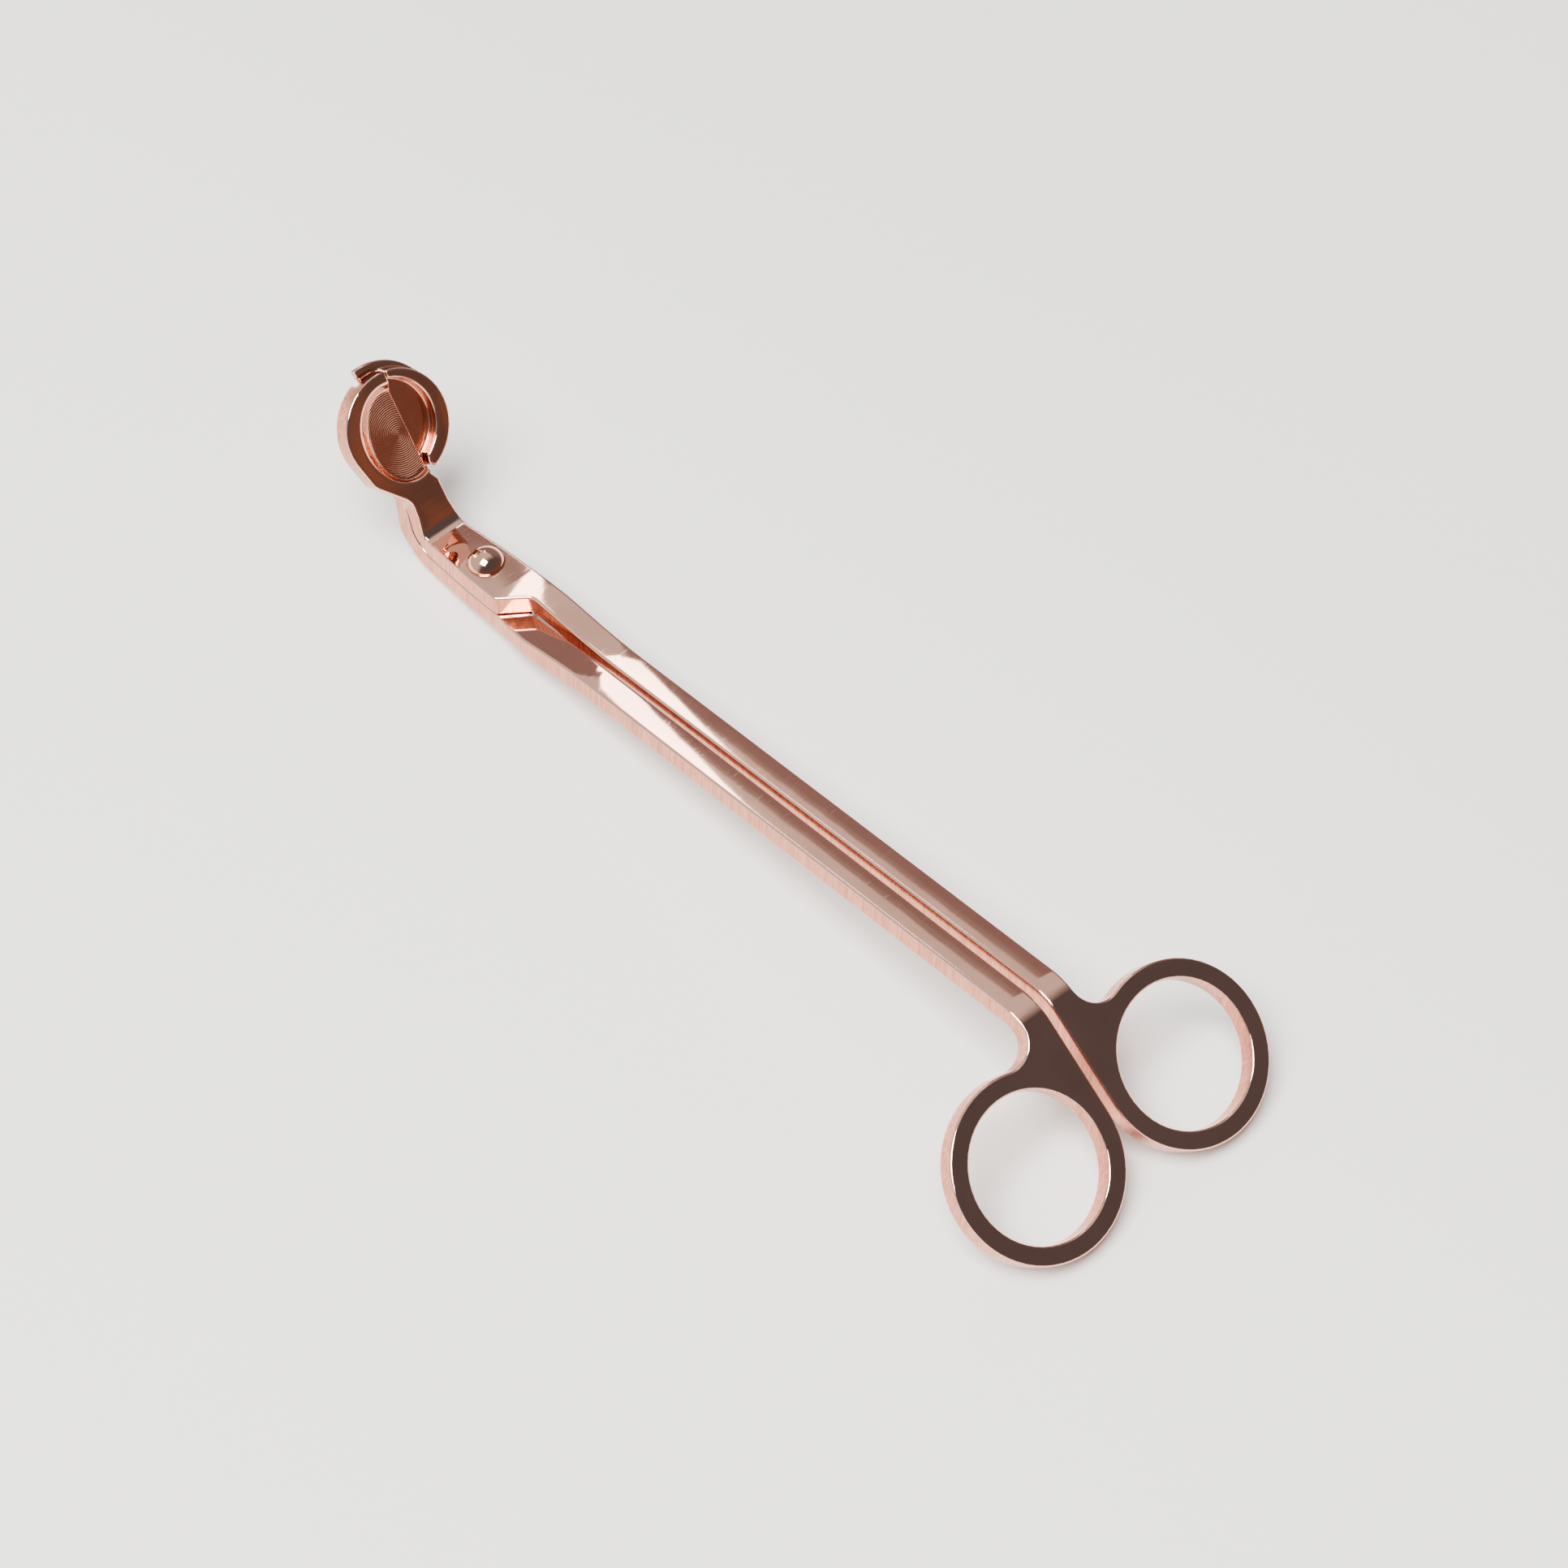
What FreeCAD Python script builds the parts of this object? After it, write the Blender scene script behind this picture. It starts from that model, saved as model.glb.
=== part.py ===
"""Candle wick trimmer: two folded steel levers crossing at one domed rivet.

Everything is modelled in a shaft frame: X along the arms from the pivot to the finger rings, Z square
to the pivot plates, the pivot axis at the origin and Z = 0 halfway between the two plates. The finished
parts are then tipped and lifted into the pose in which the trimmer lies on a table.
"""
import FreeCAD, Part
import math
import os

V = FreeCAD.Vector
Y_AXIS = V(0, 1, 0)
Z_AXIS = V(0, 0, 1)

# sheet
PLATE = 3.7             # thickness of each lever
PLATE_GAP = 0.2         # between the two plates at the pivot
TOP = PLATE_GAP / 2 + PLATE     # top of the upper plate
STACK = PLATE + PLATE_GAP       # from one plate's top to the other's

# arms
ARM_GAP = 1.5           # between the two arms, at the elbow
OPEN_GAP = 1.1          # between them where the gap has opened, at OPEN_X
OPEN_X = 30.0
ARM_OUTER = 5.3         # middle of the gap to an arm's outer edge
GAP_SHIFT = -0.4        # the middle of the gap passes the pivot on this side
JOGGLE_START = 6.0      # where the arms leave the level of their plates
JOGGLE_RUN = 29.0
ELBOW_X = 133.0         # where arm and ring plate would meet without a bend radius
ELBOW_ANGLE = 42.0      # ring plates folded down
ELBOW_INSIDE = 5.0      # inside radius of that fold

# finger rings
RING_HOLE_R = 11.75
RING_R = 14.85
RING_S = 20.1           # elbow to ring centre, along the ring plate
WEB_FILLET = 4.6

# pivot plates
FOLD_X = -11.5          # where plate and neck would meet without a bend radius
FOLD_HALF = 3.8         # half the width at the fold
PIVOT_HALF = 4.5        # half the width beside the rivet
NOTCH_HALF = 4.7        # half the width at the notch
NOTCH_X = 7.8           # outer corner of the notch
NOTCH_IN_X = 11.9       # inner corner of the notch
NOTCH_ROUND = 2.0       # radius of that corner
CROSSING = 27.8         # length of the stretch in which each lever is relieved for the other
CLEAR = 0.3             # between one lever and the outline of the other, where both share a level

# neck and head, measured along the head plate from the fold (v), across it (y) and into it (depth)
HEAD_ANGLE = 65.0
FOLD_INSIDE = 2.4       # inside radius of the upper neck's fold
FLARE_START = 0.8       # between here and NECK_START the neck narrows
NECK_START = 4.0
NECK_HALF = 3.3
NECK_END = 13.0         # where the lower neck has run into its jaw
CORNER_V = 8.2          # short corner of the upper neck, beside the foot of the cutting edge
CORNER_Y = 3.1
EDGE_FOOT = 9.7         # where the cutting edge starts
EDGE_INSIDE = 14.0      # where the neck's outline leaves that edge, inside the jaw
FLARE_FOOT = 7.0        # where the upper neck starts to flare into the left jaw
FLARE_FOOT_ROUND = 3.5
FLARE_V = 12.5          # outer corner of that flare
FLARE_Y = -8.4
FLARE_ROUND = 3.0
SHOULDER_END = 17.0     # where the flare meets the left jaw's outer circle
HEAD_V = 19.6
HEAD_R = 10.0
HEAD_DEPTH = PLATE
CUP_V = 18.7
CUP_LONG = 8.8          # half length of the left jaw's mouth
CUP_WIDE = 7.4          # half width of the left jaw's mouth
DISH_V = 18.1
DISH_LONG = 8.1         # half length of the left floor
DISH_WIDE = 5.5         # half width of the left floor
BOWL_V = 20.1           # middle of the right jaw's round hollow
BOWL_Y = -0.9
BOWL_R = 8.3
UPPER_FLOOR = 1.3       # depth of the left jaw's floor
UPPER_UNDER = 2.0       # depth of its underside
WALL_END = 152.0        # angle at which the left jaw's outer wall ends, beside the neck
WALL_TO_TAB = 6.0       # angle between that wall and the guide tab
LOWER_FLOOR = 2.4       # depth of the right jaw's floor
SEAM_TOP = 1.6          # cutting edge's distance from the middle, at the head's top
SEAM_BOTTOM = 2.2       # and at the neck
SEAM_GAP = 0.1
LOWER_EDGE = -1.2       # where the right jaw's floor ends, under the left one
TAB_V = 20.9            # middle of the guide tab that stays under the left jaw
TAB_Y = -1.0
TAB_R = 10.45
TAB_END = 13.0          # angle of its end face
TAB_ROOT = 60.0         # angle where it has run into the right jaw's floor
TIP_V = 11.15           # corner of the right jaw's free tip
TIP_Y = 2.7
TIP_ROUND = 0.4
SLOT_TOP_V = 14.0       # the slot beside that tip slants from here, inside the bowl
SLOT_TOP_Y = 3.3
SLOT_FOOT_V = 8.0       # to here, below the jaw
SLOT_FOOT_Y = 6.05
NECK_THICK_END = 6.0    # where the upper neck starts to thin
NECK_THIN = 8.5         # where it has the floor's thickness
STEP_SIDE = 0.4         # the step under it runs this far past the neck's side
UNDER_START = 2.5       # where the lower neck's back starts to come in
UNDER_V = 8.5           # corner of that back
UNDER_DEPTH = 5.6

# rivet
SHANK_R = 1.6
BORE_R = 1.65
RIVET_R = 3.3
RIVET_RISE = 2.5
HEAD_LIFT = 0.05
WASHER_R = 3.0
WASHER_T = 0.6
TAIL_R = 2.3
TAIL_RISE = 0.8

TIP_UP = 6.8            # the arms rise towards the elbow when the trimmer lies down
SPARE = 5.0             # what a blank is larger than the part cut from it
FAR = 80.0              # larger than any detail that it cuts


def arc(a, b, c):
    return Part.Arc(a, b, c).toShape()


def polar(centre, radius, degrees):
    turn = math.radians(degrees)
    return centre + V(radius * math.cos(turn), radius * math.sin(turn), 0)


def prism(edges, low, high):
    """Solid with this flat outline, from height low to height high."""
    face = Part.Face(Part.Wire(edges))
    face.translate(V(0, 0, low))
    return face.extrude(V(0, 0, high - low))


def rounded_corner(before, corner, after, radius):
    """Start, middle and end of the arc that rounds a corner."""
    back = (before - corner).normalize()
    ahead = (after - corner).normalize()
    half = back.getAngle(ahead) / 2
    cut = radius / math.tan(half)
    inward = (back + ahead).normalize()
    return corner + back * cut, corner + inward * (radius / math.sin(half) - radius), corner + ahead * cut


def outline(points):
    """Closed outline through points (x, y), or (x, y, radius) where the corner is rounded."""
    corners = [V(point[0], point[1], 0) for point in points]
    following = corners[1:] + corners[:1]
    edges, ends = [], []
    for i, point in enumerate(points):
        if len(point) == 2:
            ends.append((corners[i], corners[i]))
            continue
        start, middle, end = rounded_corner(corners[i - 1], corners[i], following[i], point[2])
        edges.append(arc(start, middle, end))
        ends.append((start, end))
    for this, after in zip(ends, ends[1:] + ends[:1]):
        edges.append(Part.makeLine(this[1], after[0]))
    return Part.__sortEdges__(edges)


def polygon_prism(points, low, high):
    return prism(outline(points), low, high)


def lines(corners):
    return [Part.makeLine(a, b) for a, b in zip(corners, corners[1:])]


def side_prism(points, start_y, width):
    """Solid whose outline is drawn from the side, through points (x, z), and runs along Y."""
    corners = [V(x, start_y, z) for x, z in points + points[:1]]
    return Part.Face(Part.Wire(lines(corners))).extrude(V(0, width, 0))


def blend(centre, big_r, line_y, radius, x_side, y_side):
    """Fillet between the outside of a circle and the line y = line_y: (on circle, halfway, on line)."""
    y = line_y + y_side * radius
    reach = big_r + radius
    own = V(centre.x + x_side * math.sqrt(reach ** 2 - (centre.y - y) ** 2), y, 0)
    to_circle = (centre - own) * (radius / reach)
    to_line = V(0, line_y - y, 0)
    halfway = (to_circle + to_line).normalize() * radius
    return own + to_circle, own + halfway, own + to_line


def tilted(shape, x, z, degrees):
    """Put a shape drawn flat on the plate that is folded down by this angle at (x, z)."""
    moved = shape.copy()
    moved.rotate(V(0, 0, 0), Y_AXIS, degrees)
    moved.translate(V(x, 0, z))
    return moved


def on_head(shape):
    return tilted(shape, FOLD_X, TOP, HEAD_ANGLE)


def on_ring(shape):
    return tilted(shape, ELBOW_X, PLATE / 2, ELBOW_ANGLE)


def head_point(v, depth):
    """The point (x, z) at this distance up the head plate and this depth in it."""
    a = math.radians(HEAD_ANGLE)
    x = FOLD_X - v * math.cos(a) - depth * math.sin(a)
    return x, TOP + v * math.sin(a) - depth * math.cos(a)


def ribbon(start, heading, moves, thickness, low, high):
    """Bent strip between y = low and y = high.

    start is a point (x, z) in the middle of its thickness, and heading its direction in degrees from
    +X towards +Z. Each move is (length,) for a straight or (radius, degrees) for a bend of that middle
    radius, positive towards +Z.
    """
    half = thickness / 2
    x, z = start
    turn = math.radians(heading)

    def side(offset, angle, px, pz):
        return V(px - offset * math.sin(angle), low, pz + offset * math.cos(angle))

    first = [side(half, turn, x, z), side(-half, turn, x, z)]
    top, bottom = [], []
    for move in moves:
        begin = side(half, turn, x, z), side(-half, turn, x, z)
        if len(move) == 1:
            x += move[0] * math.cos(turn)
            z += move[0] * math.sin(turn)
            end = side(half, turn, x, z), side(-half, turn, x, z)
            top.append(Part.makeLine(begin[0], end[0]))
            bottom.append(Part.makeLine(end[1], begin[1]))
            continue
        radius, bend = move[0], math.radians(move[1])
        signed = math.copysign(radius, bend)
        cx, cz = x - signed * math.sin(turn), z + signed * math.cos(turn)
        middle, turn = turn + bend / 2, turn + bend
        mx, mz = cx + signed * math.sin(middle), cz - signed * math.cos(middle)
        x, z = cx + signed * math.sin(turn), cz - signed * math.cos(turn)
        end = side(half, turn, x, z), side(-half, turn, x, z)
        top.append(arc(begin[0], side(half, middle, mx, mz), end[0]))
        bottom.append(arc(end[1], side(-half, middle, mx, mz), begin[1]))
    cap = Part.makeLine(end[0], end[1])
    edges = top + [cap] + bottom[::-1] + [Part.makeLine(first[1], first[0])]
    return Part.Face(Part.Wire(edges)).extrude(V(0, high - low, 0))


def half_space(x, z, degrees, side):
    """Everything on one side (+1 or -1 along the plate) of a fold's middle plane."""
    box = Part.makeBox(2 * FAR, 4 * FAR, 4 * FAR, V(0 if side > 0 else -2 * FAR, -2 * FAR, -2 * FAR))
    return tilted(box, x, z, degrees / 2)


def lever_strip(side, from_v, extra=0.0):
    """The bent strip that a lever is cut from: side is +1 for the upper one, -1 for the lower.

    extra makes the neck thicker on its inner side.
    """
    under = 0 if side > 0 else STACK
    drop = STACK / 2
    lean = math.degrees(2 * math.atan(drop / JOGGLE_RUN))
    joggle_r = JOGGLE_RUN / (2 * math.sin(math.radians(lean)))
    fold_cut = FOLD_INSIDE * math.tan(math.radians(HEAD_ANGLE / 2))
    elbow_cut = (ELBOW_INSIDE + PLATE) * math.tan(math.radians(ELBOW_ANGLE / 2))
    thickness = PLATE + extra
    middle = under + PLATE / 2 - extra / 2
    moves = [
        (from_v - fold_cut,),
        (FOLD_INSIDE + middle, HEAD_ANGLE),
    ]
    if extra:
        moves.append((-FOLD_X - fold_cut,))
    else:
        moves += [
            (JOGGLE_START - FOLD_X - fold_cut,),
            (joggle_r, -side * lean),
            (joggle_r, side * lean),
            (ELBOW_X - elbow_cut - JOGGLE_START - JOGGLE_RUN,),
            (ELBOW_INSIDE + PLATE / 2, -ELBOW_ANGLE),
            (RING_S + RING_R + SPARE,),
        ]
    start = head_point(from_v, middle)
    half_width = 2 * RING_R + SPARE
    return ribbon(start, -HEAD_ANGLE, moves, thickness, -half_width, half_width)


def mirrored(shape):
    return shape.mirror(V(0, 0, 0), Y_AXIS)


def ring_outline(shift):
    """Web and finger ring on the +Y side, drawn flat from the elbow, with the gap's middle at y = shift."""
    inner = shift + ARM_GAP / 2
    outer = shift + ARM_OUTER
    centre = V(RING_S, inner + RING_R, 0)
    meet, halfway, foot = blend(centre, RING_R, outer, WEB_FILLET, -1, 1)
    inside = V(RING_S, inner, 0)
    start_in = V(-PLATE, inner, 0)
    start_out = V(-PLATE, outer, 0)
    far_side = polar(centre, RING_R, 20)
    edges = [
        Part.makeLine(start_in, inside),
        arc(inside, far_side, meet),
        arc(meet, halfway, foot),
        Part.makeLine(foot, start_out),
        Part.makeLine(start_out, start_in),
    ]
    web = prism(edges, -2 * PLATE, PLATE)
    hole = Part.makeCylinder(RING_HOLE_R, 4 * PLATE, V(centre.x, centre.y, -3 * PLATE))
    return web.cut(hole)


def plate_outline(shift, grow=0.0):
    """Pivot plate and +Y arm seen from above, with the notch that clears the other arm.

    The middle of the gap between the arms is at y = shift, and at the notch the gap closes to CLEAR.
    grow widens the outline all round.
    """
    outer = shift + ARM_OUTER + grow
    fold = FOLD_HALF + grow
    pivot = PIVOT_HALF + grow
    notch = NOTCH_HALF + grow
    end = ELBOW_X + FAR / 4
    points = [
        (-FAR / 2, fold),
        (FOLD_X, fold),
        (0, pivot),
        (NOTCH_X, notch),
        (2 * NOTCH_X, outer),
        (end, outer),
        (end, shift + ARM_GAP / 2 - grow),
        (ELBOW_X, shift + ARM_GAP / 2 - grow),
        (OPEN_X, shift + OPEN_GAP / 2 - grow),
        (NOTCH_IN_X + grow, CLEAR / 2 - grow, NOTCH_ROUND),
        (NOTCH_X + grow, -notch),
        (0, -pivot),
        (FOLD_X, -fold),
        (-FAR / 2, -fold),
    ]
    return polygon_prism(points, -FAR, FAR)


def neck_outline(upper):
    """Neck seen square to the head plate, with v running towards -X.

    The upper neck flares into the left jaw on its -Y side and ends in a short corner on its +Y side.
    """
    start = -FAR / 4
    right = [(start, FOLD_HALF), (FLARE_START, FOLD_HALF), (NECK_START, NECK_HALF)]
    left = [(NECK_START, -NECK_HALF), (FLARE_START, -FOLD_HALF), (start, -FOLD_HALF)]
    if upper:
        jaw = -math.sqrt(HEAD_R ** 2 - (HEAD_V - SHOULDER_END) ** 2)
        end = [(CORNER_V, CORNER_Y), (EDGE_FOOT, SEAM_BOTTOM), (EDGE_INSIDE, SEAM_BOTTOM),
               (SHOULDER_END, jaw), (FLARE_V, FLARE_Y, FLARE_ROUND), (FLARE_FOOT, -NECK_HALF, FLARE_FOOT_ROUND)]
    else:
        end = [(NECK_END, NECK_HALF), (NECK_END, -NECK_HALF)]
    points = [(-point[0],) + tuple(point[1:]) for point in right + end + left]
    return polygon_prism(points, -FAR / 4, FAR / 8)


def ellipse_wire(v, long_half, wide_half, depth):
    curve = Part.Ellipse(V(-v, 0, -depth), long_half, wide_half)
    return Part.Wire(curve.toShape())


def disc(v, y, radius, top_depth, bottom_depth):
    return Part.makeCylinder(radius, bottom_depth - top_depth, V(-v, y, -bottom_depth))


def seam_side(shift):
    """Everything left (-Y) of the cutting edge, moved right by shift."""
    corners = [(-FAR, SEAM_TOP + shift), (-HEAD_V - HEAD_R, SEAM_TOP + shift),
               (-HEAD_V + HEAD_R, SEAM_BOTTOM + shift), (FAR, SEAM_BOTTOM + shift), (FAR, -FAR), (-FAR, -FAR)]
    return polygon_prism(corners, -FAR, FAR)


def sector(v, start, end, top_depth, bottom_depth):
    """Wedge about the head's middle between two angles from the head's top towards +Y."""
    centre = V(-v, 0, 0)
    edge = [polar(centre, FAR, 180 - a) for a in (start, (start + end) / 2, end)]
    edges = [Part.makeLine(centre, edge[0]), arc(*edge), Part.makeLine(edge[2], centre)]
    return prism(edges, -bottom_depth, -top_depth)


def left_jaw():
    """Upper lever's jaw: raised crescent with a dished inner side, and the blade that is its floor."""
    body = disc(HEAD_V, 0, HEAD_R, 0, UPPER_UNDER).common(seam_side(0))
    wall = disc(HEAD_V, 0, HEAD_R, UPPER_UNDER, HEAD_DEPTH)
    wall = wall.cut(disc(HEAD_V, 0, CUP_WIDE, UPPER_UNDER, HEAD_DEPTH))
    wall = wall.common(sector(HEAD_V, -WALL_END, -TAB_END - WALL_TO_TAB, UPPER_UNDER, HEAD_DEPTH))
    return body.fuse(wall)


def dish():
    """Hollow of the left jaw, wide at its mouth and narrower at its floor."""
    mouth = ellipse_wire(CUP_V, CUP_LONG, CUP_WIDE, 0)
    floor = ellipse_wire(DISH_V, DISH_LONG, DISH_WIDE, UPPER_FLOOR)
    above = Part.Face(mouth).extrude(V(0, 0, PLATE))
    return Part.makeLoft([floor, mouth], True, True).fuse(above)


def beside_tip():
    """Space between the right jaw's free tip and the neck."""
    corners = [(-SLOT_TOP_V, -FAR), (-SLOT_TOP_V, SLOT_TOP_Y), (-TIP_V, TIP_Y, TIP_ROUND),
               (-SLOT_FOOT_V, SLOT_FOOT_Y), (-SLOT_FOOT_V, -FAR)]
    return polygon_prism(corners, -2 * PLATE, PLATE)


def right_jaw():
    """Lower lever's jaw: raised crescent, floor one plate lower, and the guide tab at its top."""
    ring = disc(HEAD_V, 0, HEAD_R, 0, HEAD_DEPTH)
    bowl = disc(BOWL_V, BOWL_Y, BOWL_R, 0, HEAD_DEPTH)
    crescent = ring.cut([bowl, seam_side(SEAM_GAP), beside_tip()])
    floor = disc(HEAD_V, 0, HEAD_R, LOWER_FLOOR, HEAD_DEPTH)
    floor = floor.common(Part.makeBox(2 * FAR, FAR, FAR, V(-FAR, LOWER_EDGE, -FAR / 2)))
    neck_strip = Part.makeBox(FAR, 2 * NECK_HALF, FAR, V(-HEAD_V, -NECK_HALF, -FAR / 2))
    floor = floor.cut(beside_tip().cut(neck_strip))
    tab = disc(TAB_V, TAB_Y, TAB_R, LOWER_FLOOR, HEAD_DEPTH)
    tab = tab.common(sector(HEAD_V, -TAB_END, TAB_ROOT, LOWER_FLOOR, HEAD_DEPTH))
    tab = tab.cut(disc(HEAD_V, 0, CUP_WIDE, LOWER_FLOOR, HEAD_DEPTH))
    return crescent.fuse([floor, tab])


def neck_profile(gap):
    """Back of the upper neck at y = 0 as (radius, z) pairs, moved out by gap: fold, straight, step, floor."""
    inside = FOLD_INSIDE
    cut = inside * math.tan(math.radians(HEAD_ANGLE / 2))
    centre_x, centre_z = FOLD_X + cut, TOP + inside
    radius = inside + PLATE + gap
    fold = []
    for part in (0, 0.5, 1):
        a = math.radians(HEAD_ANGLE * part)
        fold.append((radius * math.sin(a) - centre_x, centre_z - radius * math.cos(a)))
    rest = [
        head_point(NECK_THICK_END - gap, PLATE + gap),
        head_point(NECK_THIN + gap, UPPER_UNDER + gap),
    ]
    return fold, [(-x, z) for x, z in rest]


def turned(gap, inward):
    """Ring about the pivot axis beside that profile, on its inside or its outside."""
    fold, rest = neck_profile(gap)
    side = -2 * PLATE if inward else 2 * PLATE
    low, middle, high = [V(r, 0, z) for r, z in fold]
    corners = [high] + [V(r, 0, z) for r, z in rest]
    corners += [corners[-1] + V(side, 0, 0), low + V(side, 0, 0), low]
    edges = [arc(low, middle, high)] + lines(corners)
    face = Part.Face(Part.Wire(edges))
    face.rotate(V(0, 0, 0), Z_AXIS, 90)
    return face.revolve(V(0, 0, 0), Z_AXIS, 180)


def step_under_neck():
    """Space below the upper neck's thin end, where the lower jaw's floor passes."""
    points = [head_point(NECK_THICK_END, PLATE), head_point(NECK_THIN, UPPER_UNDER),
              head_point(FAR / 4, UPPER_UNDER), head_point(FAR / 4, 2 * PLATE),
              head_point(NECK_THICK_END, 2 * PLATE)]
    return side_prism(points, -NECK_HALF - STEP_SIDE, FAR)


def arm_and_ring(side):
    """Pivot plate, arm, web and finger ring of one lever: side is +1 for the upper one, -1 for the lower."""
    strip = lever_strip(side, HEAD_V)
    shift = side * GAP_SHIFT
    plan, ring = plate_outline(shift), ring_outline(shift)
    other = plate_outline(-shift, CLEAR)
    if side > 0:
        other = mirrored(other)
    else:
        plan, ring = mirrored(plan), mirrored(ring)
    level = side * PLATE_GAP / 2
    crossing_x = FOLD_X + FOLD_INSIDE * math.tan(math.radians(HEAD_ANGLE / 2))
    base_z = level - FAR if side > 0 else level
    crossing = Part.makeBox(CROSSING, FAR, FAR, V(crossing_x, -FAR / 2, base_z))
    arm = strip.common(plan)
    arm = arm.common(half_space(FOLD_X, TOP, HEAD_ANGLE, 1))
    arm = arm.common(half_space(ELBOW_X, PLATE / 2, ELBOW_ANGLE, -1))
    arm = arm.cut(crossing.common(other))
    ring = strip.common(on_ring(ring)).common(half_space(ELBOW_X, PLATE / 2, ELBOW_ANGLE, 1))
    return arm.fuse(ring)


def upper_lever():
    neck = lever_strip(1, HEAD_V).common(on_head(neck_outline(True)))
    neck = neck.common(half_space(FOLD_X, TOP, HEAD_ANGLE, -1))
    neck = neck.cut(step_under_neck())
    lever = arm_and_ring(1).fuse([neck, on_head(left_jaw())])
    lever = lever.cut([turned(0, False), on_head(dish())])
    bore = Part.makeCylinder(BORE_R, 2 * PLATE, V(0, 0, 0))
    return lever.cut(bore)


def neck_underside():
    """Space below the lower neck, which thins towards the head."""
    points = [head_point(UNDER_START, STACK + PLATE), head_point(UNDER_V, UNDER_DEPTH),
              head_point(NECK_END, HEAD_DEPTH), head_point(FAR, HEAD_DEPTH), head_point(FAR, FAR),
              head_point(UNDER_START, FAR)]
    return side_prism(points, -FAR / 4, FAR / 2)


def lower_lever():
    spare = STACK - LOWER_FLOOR
    neck = lever_strip(-1, NECK_END, spare).common(on_head(neck_outline(False)))
    neck = neck.common(half_space(FOLD_X, TOP, HEAD_ANGLE, -1))
    neck = neck.cut(neck_underside())
    lever = arm_and_ring(-1).fuse(neck).cut(turned(PLATE_GAP, True))
    bore = Part.makeCylinder(SHANK_R, 2 * PLATE, V(0, 0, -2 * PLATE))
    return lever.fuse(on_head(right_jaw())).cut(bore)


def dome(radius, rise, z, up):
    """Spherical cap of this base radius and rise on the plane z, pointing up (+1) or down (-1)."""
    ball_r = (radius ** 2 + rise ** 2) / (2 * rise)
    ball = Part.makeSphere(ball_r, V(0, 0, z + up * (rise - ball_r)))
    return ball.common(Part.makeCylinder(radius, rise, V(0, 0, z), V(0, 0, up)))


def pivot_rivet():
    under = -TOP - WASHER_T
    seat = TOP + HEAD_LIFT
    shank = Part.makeCylinder(SHANK_R, seat - under, V(0, 0, under))
    return shank.fuse([dome(RIVET_R, RIVET_RISE, seat, 1), dome(TAIL_R, TAIL_RISE, under, -1)])


def rivet_washer():
    outer = Part.makeCylinder(WASHER_R, WASHER_T, V(0, 0, -TOP - WASHER_T))
    return outer.cut(Part.makeCylinder(SHANK_R, WASHER_T, V(0, 0, -TOP - WASHER_T)))


def lying_down(shapes):
    """Tip the parts into their resting pose, then put the middle of their footprint at the origin."""
    for shape in shapes:
        shape.rotate(V(0, 0, 0), Y_AXIS, -TIP_UP)
    box = FreeCAD.BoundBox()
    for shape in shapes:
        box.add(shape.optimalBoundingBox(False, False))
    for shape in shapes:
        shape.translate(V(-box.Center.x, -box.Center.y, -box.ZMin))
    return box


def main():
    nodes = {
        "upper_lever": upper_lever(),
        "lower_lever": lower_lever(),
        "pivot_rivet": pivot_rivet(),
        "rivet_washer": rivet_washer(),
    }
    nodes = {name: shape.removeSplitter() for name, shape in nodes.items()}
    box = lying_down(list(nodes.values()))
    turn = math.radians(TIP_UP)
    print("pivot axis passes through", -box.Center.x, -box.Center.y, -box.ZMin)
    print("pivot axis direction", -math.sin(turn), 0, math.cos(turn))
    os.makedirs("parts", exist_ok=True)
    for name, shape in nodes.items():
        print(name, shape.isValid(), len(shape.Solids), round(shape.Volume, 1))
        shape.Solids[0].exportStep(f"parts/{name}.step")


main()
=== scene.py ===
"""Candle wick trimmer in polished rose gold: two folded levers on a domed rivet."""
import bpy
import bmesh
import math
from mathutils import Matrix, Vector
from mathutils.bvhtree import BVHTree


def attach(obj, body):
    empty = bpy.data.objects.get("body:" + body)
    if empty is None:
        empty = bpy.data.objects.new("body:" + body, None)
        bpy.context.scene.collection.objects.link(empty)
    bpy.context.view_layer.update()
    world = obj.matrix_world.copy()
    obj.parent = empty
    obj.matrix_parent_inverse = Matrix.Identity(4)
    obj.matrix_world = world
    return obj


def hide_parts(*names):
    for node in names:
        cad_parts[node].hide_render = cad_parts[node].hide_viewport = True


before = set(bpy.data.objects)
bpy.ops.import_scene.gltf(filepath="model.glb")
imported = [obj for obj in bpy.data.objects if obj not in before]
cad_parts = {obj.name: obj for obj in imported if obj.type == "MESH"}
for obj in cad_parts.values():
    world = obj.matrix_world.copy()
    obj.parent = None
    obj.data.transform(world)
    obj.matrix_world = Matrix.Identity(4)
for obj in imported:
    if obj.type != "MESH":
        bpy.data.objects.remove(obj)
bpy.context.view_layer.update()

MM = 0.001

# viewpoint
CAMERA_SPOT = (0.30818, -0.28492, 0.54029)
CAMERA_TURN_DEG = (38.435, -1.145, 47.794)
CAMERA_SENSOR_MM = 36.0
CAMERA_LENS_MM = 96.9
CAMERA_REACH = 20.0

# floor: flat under the closed trimmer, lower where the upper lever's ring dips by 5.6 mm as it opens
FLOOR_COLOR = (0.90, 0.88, 0.85)
FLOOR_ROUGH = 0.75
FLOOR_HALF = 3.0
FLOOR_Z = -0.5 * MM
FALL = 12.0 * MM
FALL_FROM = 20.0 * MM                   # it falls between these two, towards +Y
FALL_TO = 220.0 * MM
FALL_STRIPS = 24

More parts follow.
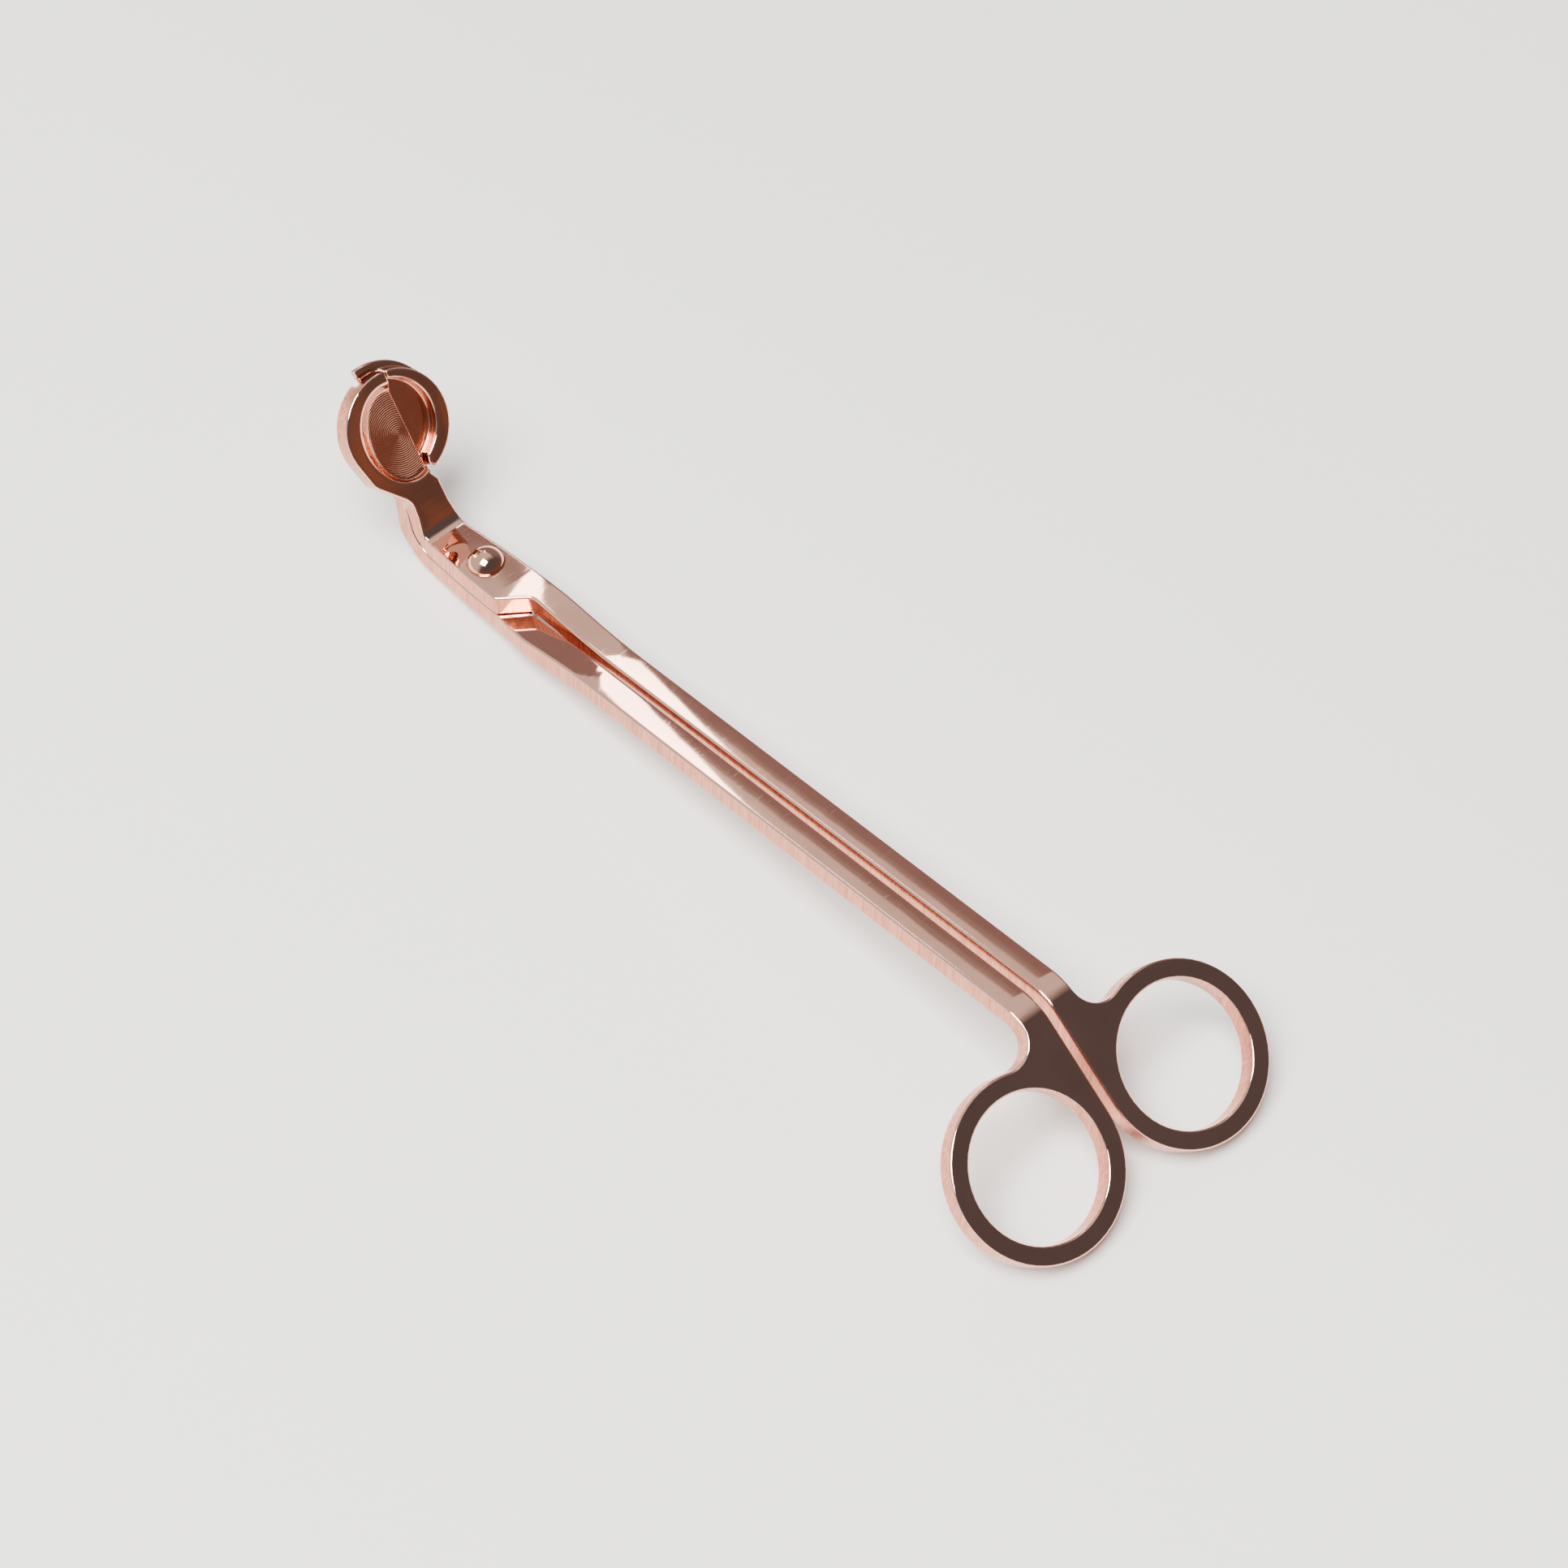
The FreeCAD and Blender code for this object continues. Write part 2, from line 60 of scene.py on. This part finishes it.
# studio: a pale wall that turns grey and then dark on one side, and a brown one on another
PALE_WALL = (1.0, 0.97, 0.94, 1)
GREY_WALL = (0.42, 0.36, 0.35, 1)
DARK_WALL = (0.34, 0.265, 0.27, 1)
BROWN_WALL = (0.118, 0.120, 0.135, 1)
WARM_WALL = (0.34, 0.135, 0.07, 1)
EMBER_WALL = (0.14, 0.09, 0.07, 1)
DARK_SIDE = (-0.196, 0.965, -0.173)     # across the studio, towards its darker side
DARK_FROM = 0.4176                      # how far that way the pale part of the studio ends
GREY_EDGE = (-0.0006, 0.0006)           # pale turns into grey over this much
DARK_EDGE = (0.0035, 0.0048)            # and a little further on grey turns into dark
DARK_EDGE_LEAN = 0.078                  # how much further for each unit of height
DARK_EDGE_HEIGHT = 0.606                # over this height
BROWN_EDGE = (-0.1, 0.3)                # towards +X the wall turns brown
BROWN_HEIGHT = (0.1, 0.45)              # low down it has warm patches, which end over these heights
PATCH_SCALE = 45.0
PATCH_DETAIL = 1.0
PATCH_RANGE = (0.42, 0.60)

# head, arms and rings, as they lie in the frame
TIP = math.radians(6.8)                 # the arms rise this much towards the rings
HEAD_TURN = math.radians(65.0) - TIP    # how steeply the head plate rises
RING_TURN = math.radians(42.0) - TIP    # how steeply the ring plates fall
HEAD_FOOT = Vector((-76.304, 0.4, 7.997)) * MM      # where the head plate leaves the pivot plate
HEAD_UP = Vector((-math.cos(HEAD_TURN), 0.0, math.sin(HEAD_TURN)))
HEAD_IN = Vector((-math.sin(HEAD_TURN), 0.0, -math.cos(HEAD_TURN)))
HEAD_OUT = tuple(-HEAD_IN)              # square to the head plate
ARM_UP = (0.0, 0.0, 1.0)                # nearly square to the arms
RING_UP = (math.sin(RING_TURN), 0.0, math.cos(RING_TURN))   # square to the ring plates
HEAD_X = -76.0 * MM                     # the head plate starts here
RING_X = 67.4 * MM                      # and here the ring plates
PLATE_BLEND = 1.0 * MM

# the two round floors in the head: how far up its plate, how deep, and how wide
FLOORS_UP = 18.1 * MM
DISH_DEPTH = 1.3 * MM
DISH_REACH = 8.25 * MM
BOWL_DEPTH = 2.4 * MM
BOWL_REACH = 10.5 * MM
ON_FLOOR = (0.15 * MM, 0.1 * MM)        # how near its depth a point has to be
RIM_BLEND = 0.05 * MM
LATHE_STEP = 0.36 * MM                  # from one lathe line to the next
LATHE_HEIGHT = 0.03 * MM

# the left jaw's cutting edge, from HEAD_FOOT: further up and towards +Y than this, between these depths
BLADE_UP = 9.5 * MM
BLADE_Y = 1.2 * MM
BLADE_DEPTHS = (1.0 * MM, 2.2 * MM)

# rounding of the levers' edges
EDGE_ROUND = 0.35 * MM
EDGE_SEGMENTS = 3
SEAM = 0.004 * MM                       # points closer together than this are one
FLAT = math.radians(0.4)                # faces that turn less than this are one
SHARP = math.radians(28)                # edges that turn more than this are rounded
CREASE = math.radians(50)               # afterwards only edges that turn more than this look sharp
STRAY = 0.2 * MM                        # points further than this from the CAD surface go back onto it

# plating
ROSE = (0.87, 0.485, 0.365)
PALE_ROSE = (0.93, 0.68, 0.58)          # worn edges and hairlines
HOLLOW_PAINTED_SHADE = (0.72, 0.33, 0.22)             # painted shade and warm reflection: the two hollow floors in the head, a darker, more orange copper than the plate
PAINTED_SIDE_SHADE_DARK = (0.46, 0.12, 0.055)       # painted shade: the narrow sides, deeper in colour than the flat faces
PAINTED_SIDE_SHADE_LIGHT = (0.78, 0.29, 0.17)       # and the brush marks on them, lighter but within the same painted shade
DULL = 0.90                             # the darkest tone of the flat faces, against the lightest
TONE_NOISE = {"scale": 90.0, "detail": 2.0}
TONE_RANGE = (0.35, 0.65)
HAIR_NOISE = {"scale": 2600.0, "detail": 4.0}
HAIR_RANGE = (0.60, 0.74)
HAIR_TINT = 0.15
BRUSH_NOISE = {"scale": 2200.0, "detail": 2.0}
BRUSH_RANGE = (0.3, 0.7)
BRUSH_HEIGHT = 0.05 * MM
HAZE_NOISE = {"scale": 60.0, "detail": 3.0}
HAZE_RANGE = (0.4, 0.75)
WAVE_NOISE = {"scale": 120.0, "detail": 1.0}
WAVE_HEIGHT = 0.008 * MM
LINE_NOISE = {"scale": 1200.0, "detail": 2.0}
LINE_HEIGHT = 0.0008 * MM
ACROSS_ARMS = (1, 0.12, 1)              # draws a noise out into lines across the arms
UPRIGHT = (1, 1, 0.06)                  # and this into upright lines
EVEN = (1, 1, 1)
GROOVE_STRENGTH = 0.25                  # of the brush marks and lathe lines
SIDE_SQUARE = (0.5, 0.25)               # how much a face looks the way its plate does, flat to narrow
# how strongly the narrow sides take their painted shade
SIDE_SHADE_AMOUNT = 0.85
WEAR_WIDTH = 0.4 * MM
WEAR_SAMPLES = 8
WEAR_TURN = (0.998, 0.95)               # cosine of the rounded normal's turn, from unworn to worn
WEAR_TINT = 0.7
MIRROR_ROUGH = 0.03
HAZE_ROUGH = 0.02
HAIR_ROUGH = 0.05
BRUSHED_ROUGH = 0.12                    # on the narrow sides and the head's floors


def make_camera():
    data = bpy.data.cameras.new("camera")
    data.sensor_width = CAMERA_SENSOR_MM
    data.lens = CAMERA_LENS_MM
    data.clip_end = CAMERA_REACH
    camera = bpy.data.objects.new("camera", data)
    camera.location = CAMERA_SPOT
    camera.rotation_euler = [math.radians(angle) for angle in CAMERA_TURN_DEG]
    bpy.context.scene.collection.objects.link(camera)
    bpy.context.scene.camera = camera


class Graph:
    """Short names for adding and linking the nodes of one material or world."""

    def __init__(self, owner):
        owner.use_nodes = True
        self.owner = owner
        self.nodes = owner.node_tree.nodes
        self.links = owner.node_tree.links

    def add(self, kind, **inputs):
        node = self.nodes.new("ShaderNode" + kind)
        for key, value in inputs.items():
            self.put(node.inputs[key], value)
        return node

    def put(self, socket, value):
        if isinstance(value, bpy.types.NodeSocket):
            self.links.new(value, socket)
        else:
            socket.default_value = value

    def operate(self, kind, operation, a, b, output):
        node = self.nodes.new(kind)
        node.operation = operation
        self.put(node.inputs[0], a)
        self.put(node.inputs[1], b)
        return node.outputs[output]

    def math(self, operation, a, b=0.0):
        return self.operate("ShaderNodeMath", operation, a, b, "Value")

    def dot(self, a, b):
        return self.operate("ShaderNodeVectorMath", "DOT_PRODUCT", a, b, "Value")

    def minus(self, a, b):
        return self.operate("ShaderNodeVectorMath", "SUBTRACT", a, b, "Vector")

    def split(self, vector, axis):
        return self.add("SeparateXYZ", Vector=vector).outputs[axis]

    def mix(self, amount, a, b):
        node = self.nodes.new("ShaderNodeMix")
        node.data_type = "RGBA"
        self.put(node.inputs["Factor"], amount)
        self.put(node.inputs["A"], a)
        self.put(node.inputs["B"], b)
        return node.outputs["Result"]

    def ramp(self, value, low, high):
        """0 at low and 1 at high, and even between them."""
        node = self.add("MapRange", Value=value)
        node.inputs["From Min"].default_value = low
        node.inputs["From Max"].default_value = high
        return node.outputs["Result"]

    def noise(self, scale, detail, stretch=EVEN, rough=0.55):
        spot = self.nodes.new("ShaderNodeTexCoord").outputs["Object"]
        place = self.add("Mapping", Vector=spot, Scale=stretch).outputs[0]
        return self.add("TexNoise", Vector=place, Scale=scale, Detail=detail, Roughness=rough).outputs[0]

    def bump(self, height, strength, distance, normal):
        node = self.add("Bump", Height=height, Strength=strength, Distance=distance, Normal=normal)
        return node.outputs[0]


def narrow_sides(g, coords):
    """1 on the narrow sides of the plates, 0 on their flat faces."""
    along = g.split(coords.outputs["Object"], "X")
    in_ring = g.ramp(along, RING_X - PLATE_BLEND, RING_X + PLATE_BLEND)
    in_head = g.ramp(along, HEAD_X + PLATE_BLEND, HEAD_X - PLATE_BLEND)
    plate = g.mix(in_ring, (*ARM_UP, 0), (*RING_UP, 0))
    plate = g.mix(in_head, plate, (*HEAD_OUT, 0))
    square = g.math("ABSOLUTE", g.dot(coords.outputs["Normal"], plate))
    return g.ramp(square, *SIDE_SQUARE)


def round_floor(g, depth, floor_depth, radius, reach):
    """1 on a flat round floor at this depth, 0 elsewhere."""
    off_floor = g.math("ABSOLUTE", g.math("SUBTRACT", depth, floor_depth))
    inside = g.ramp(radius, reach + RIM_BLEND, reach - RIM_BLEND)
    return g.math("MULTIPLY", g.ramp(off_floor, *ON_FLOOR), inside)


def turned_floors(g, coords):
    """Where the head's dish is, where either floor is, and the dish's lathe lines."""
    from_foot = g.minus(coords.outputs["Object"], HEAD_FOOT)
    up = g.math("SUBTRACT", g.dot(from_foot, HEAD_UP), FLOORS_UP)
    across = g.split(from_foot, "Y")
    squares = g.math("ADD", g.math("MULTIPLY", up, up), g.math("MULTIPLY", across, across))
    radius = g.math("SQRT", squares)
    depth = g.dot(from_foot, HEAD_IN)
    dish = round_floor(g, depth, DISH_DEPTH, radius, DISH_REACH)
    bowl = round_floor(g, depth, BOWL_DEPTH, radius, BOWL_REACH)
    lines = g.math("SINE", g.math("MULTIPLY", radius, 2 * math.pi / LATHE_STEP))
    return dish, g.math("ADD", dish, bowl), lines


def polished(name, hair_stretch, has_head):
    """Mirror-polished plating with hairlines, narrow sides brush-finished and darkened with painted
    shade, and edges worn paler.

    hair_stretch draws the hairlines out; has_head adds the painted shade on the head's two floors and
    the lathe lines in the head.
    """
    g = Graph(bpy.data.materials.new(name))
    coords = g.nodes.new("ShaderNodeTexCoord")
    geometry = g.nodes.new("ShaderNodeNewGeometry")
    edge = g.add("Bevel", Radius=WEAR_WIDTH)
    edge.samples = WEAR_SAMPLES
    rounded = edge.outputs[0]

    side = narrow_sides(g, coords)
    wear = g.ramp(g.dot(rounded, geometry.outputs["True Normal"]), *WEAR_TURN)
    tone = g.ramp(g.noise(**TONE_NOISE), *TONE_RANGE)
    hair = g.ramp(g.noise(**HAIR_NOISE, stretch=hair_stretch), *HAIR_RANGE)
    haze = g.ramp(g.noise(**HAZE_NOISE), *HAZE_RANGE)
    brush = g.noise(**BRUSH_NOISE, stretch=UPRIGHT)

    base = g.mix(tone, (*ROSE, 1), (*[part * DULL for part in ROSE], 1))
    base = g.mix(g.math("MULTIPLY", hair, HAIR_TINT), base, (*PALE_ROSE, 1))
    # painted shade: the narrow sides turn a darker, deeper copper; their brush marks, roughness and
    # grooves are their own finish
    brushed_side_shade = g.mix(g.ramp(brush, *BRUSH_RANGE), (*PAINTED_SIDE_SHADE_DARK, 1), (*PAINTED_SIDE_SHADE_LIGHT, 1))
    base = g.mix(g.math("MULTIPLY", side, SIDE_SHADE_AMOUNT), base, brushed_side_shade)
    base = g.mix(g.math("MULTIPLY", wear, WEAR_TINT), base, (*PALE_ROSE, 1))

    rough = g.math("ADD", MIRROR_ROUGH, g.math("MULTIPLY", haze, HAZE_ROUGH))
    rough = g.math("ADD", rough, g.math("MULTIPLY", hair, HAIR_ROUGH))
    rough = g.math("ADD", rough, g.math("MULTIPLY", side, BRUSHED_ROUGH))

    normal = g.bump(g.noise(**WAVE_NOISE), 1.0, WAVE_HEIGHT, rounded)
    normal = g.bump(g.noise(**LINE_NOISE, stretch=hair_stretch), 1.0, LINE_HEIGHT, normal)
    normal = g.bump(g.math("MULTIPLY", brush, side), GROOVE_STRENGTH, BRUSH_HEIGHT, normal)

    if has_head:
        dish, floors, lines = turned_floors(g, coords)
        # painted shade and warm reflection: the head's two recessed floors turn a darker, more orange
        # copper
        base = g.mix(floors, base, (*HOLLOW_PAINTED_SHADE, 1))
        rough = g.math("ADD", rough, g.math("MULTIPLY", floors, BRUSHED_ROUGH))
        normal = g.bump(g.math("MULTIPLY", lines, dish), GROOVE_STRENGTH, LATHE_HEIGHT, normal)

    shader = g.nodes["Principled BSDF"]
    shader.inputs["Metallic"].default_value = 1.0
    g.put(shader.inputs["Base Color"], base)
    g.put(shader.inputs["Roughness"], rough)
    g.put(shader.inputs["Normal"], normal)
    return g.owner


def on_blade(edge):
    """Whether an edge belongs to the left jaw's cutting edge, which stays sharp."""
    shallow, deep = BLADE_DEPTHS
    places = [vert.co - HEAD_FOOT for vert in edge.verts]
    return all(place.dot(HEAD_UP) > BLADE_UP and place.y > BLADE_Y
               and shallow < place.dot(HEAD_IN) < deep for place in places)


def softened(node, body, material):
    """Shows the lever with its sharp edges rounded off, as polishing leaves them."""
    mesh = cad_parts[node].data.copy()
    mesh.name = node + "_polished"
    bm = bmesh.new()
    bm.from_mesh(mesh)
    surface = BVHTree.FromBMesh(bm)
    bmesh.ops.remove_doubles(bm, verts=bm.verts, dist=SEAM)
    bmesh.ops.dissolve_limit(bm, angle_limit=FLAT, verts=bm.verts, edges=bm.edges, delimit=set())
    sharp = [edge for edge in bm.edges if edge.calc_face_angle(0.0) > SHARP and not on_blade(edge)]
    bmesh.ops.bevel(bm, geom=sharp, offset=EDGE_ROUND, offset_type="OFFSET", segments=EDGE_SEGMENTS,
                    profile=0.5, affect="EDGES", clamp_overlap=False)
    for vert in bm.verts:
        place, _, _, gap = surface.find_nearest(vert.co)
        if gap > STRAY:
            vert.co = place
    bmesh.ops.remove_doubles(bm, verts=bm.verts, dist=SEAM)
    for face in bm.faces:
        face.smooth = True
    for edge in bm.edges:
        edge.smooth = edge.calc_face_angle(0.0) < CREASE
    bm.to_mesh(mesh)
    bm.free()
    mesh.materials.clear()
    mesh.materials.append(material)
    obj = bpy.data.objects.new(node + "_polished", mesh)
    bpy.context.scene.collection.objects.link(obj)
    obj.modifiers.new("flat faces stay flat", "WEIGHTED_NORMAL").keep_sharp = True
    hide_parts(node)
    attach(obj, body)


def floor_height(y):
    part = min(max((y - FALL_FROM) / (FALL_TO - FALL_FROM), 0.0), 1.0)
    return FLOOR_Z - FALL * part * part * (3.0 - 2.0 * part)


def floor():
    mesh = bpy.data.meshes.new("floor")
    bm = bmesh.new()
    strip = (FALL_TO - FALL_FROM) / FALL_STRIPS
    falling = [FALL_FROM + strip * i for i in range(FALL_STRIPS + 1)]
    last = None
    for y in (-FLOOR_HALF, *falling, FLOOR_HALF):
        row = [bm.verts.new((x, y, floor_height(y))) for x in (-FLOOR_HALF, FLOOR_HALF)]
        if last:
            bm.faces.new((last[0], last[1], row[1], row[0])).smooth = True
        last = row
    bm.to_mesh(mesh)
    bm.free()
    obj = bpy.data.objects.new("floor", mesh)
    bpy.context.scene.collection.objects.link(obj)
    g = Graph(bpy.data.materials.new("floor"))
    shader = g.nodes["Principled BSDF"]
    shader.inputs["Base Color"].default_value = (*FLOOR_COLOR, 1)
    shader.inputs["Roughness"].default_value = FLOOR_ROUGH
    mesh.materials.append(g.owner)


def surroundings():
    """Studio in pale, grey, dark and brown zones, so that the polished metal has something to show."""
    world = bpy.data.worlds.new("studio")
    bpy.context.scene.world = world
    g = Graph(world)
    toward = g.nodes.new("ShaderNodeTexCoord").outputs["Generated"]
    height = g.split(toward, "Z")

    across = g.math("SUBTRACT", g.dot(toward, DARK_SIDE), DARK_FROM)
    lean = g.math("MULTIPLY", g.math("SUBTRACT", height, DARK_EDGE_HEIGHT), DARK_EDGE_LEAN)
    shade = g.mix(g.ramp(across, *GREY_EDGE), PALE_WALL, GREY_WALL)
    shade = g.mix(g.ramp(g.math("SUBTRACT", across, lean), *DARK_EDGE), shade, DARK_WALL)

    patches = g.add("TexNoise", Vector=toward, Scale=PATCH_SCALE, Detail=PATCH_DETAIL).outputs[0]
    warm = g.mix(g.ramp(patches, *PATCH_RANGE), EMBER_WALL, WARM_WALL)
    brown = g.mix(g.ramp(height, *BROWN_HEIGHT), warm, BROWN_WALL)
    shade = g.mix(g.ramp(g.split(toward, "X"), *BROWN_EDGE), shade, brown)

    background = g.nodes["Background"]
    g.put(background.inputs["Color"], shade)
    background.inputs["Strength"].default_value = 1.0


def soft_box(name, toward, distance, size, power):
    """Area light seen from the trimmer in this direction."""
    data = bpy.data.lights.new(name, "AREA")
    data.shape = "RECTANGLE"
    data.size, data.size_y = size
    data.energy = power
    spot = Vector(toward).normalized() * distance
    obj = bpy.data.objects.new(name, data)
    obj.location = spot
    obj.rotation_euler = (-spot).to_track_quat("-Z", "Y").to_euler()
    bpy.context.scene.collection.objects.link(obj)


make_camera()
floor()
surroundings()
soft_box("overhead", toward=(0.1, -0.45, 1.0), distance=1.6, size=(0.9, 0.9), power=80)
soft_box("band", toward=(-0.652, 0.400, 0.645), distance=1.5, size=(0.05, 0.5), power=0.8)
lever = polished("rose_gold_lever", hair_stretch=ACROSS_ARMS, has_head=True)
rivet = polished("rose_gold_rivet", hair_stretch=EVEN, has_head=False)
for name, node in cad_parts.items():
    for slot in node.material_slots:
        slot.material = lever if "lever" in name else rivet
softened("upper_lever", "upper", lever)
softened("lower_lever", "lower", lever)
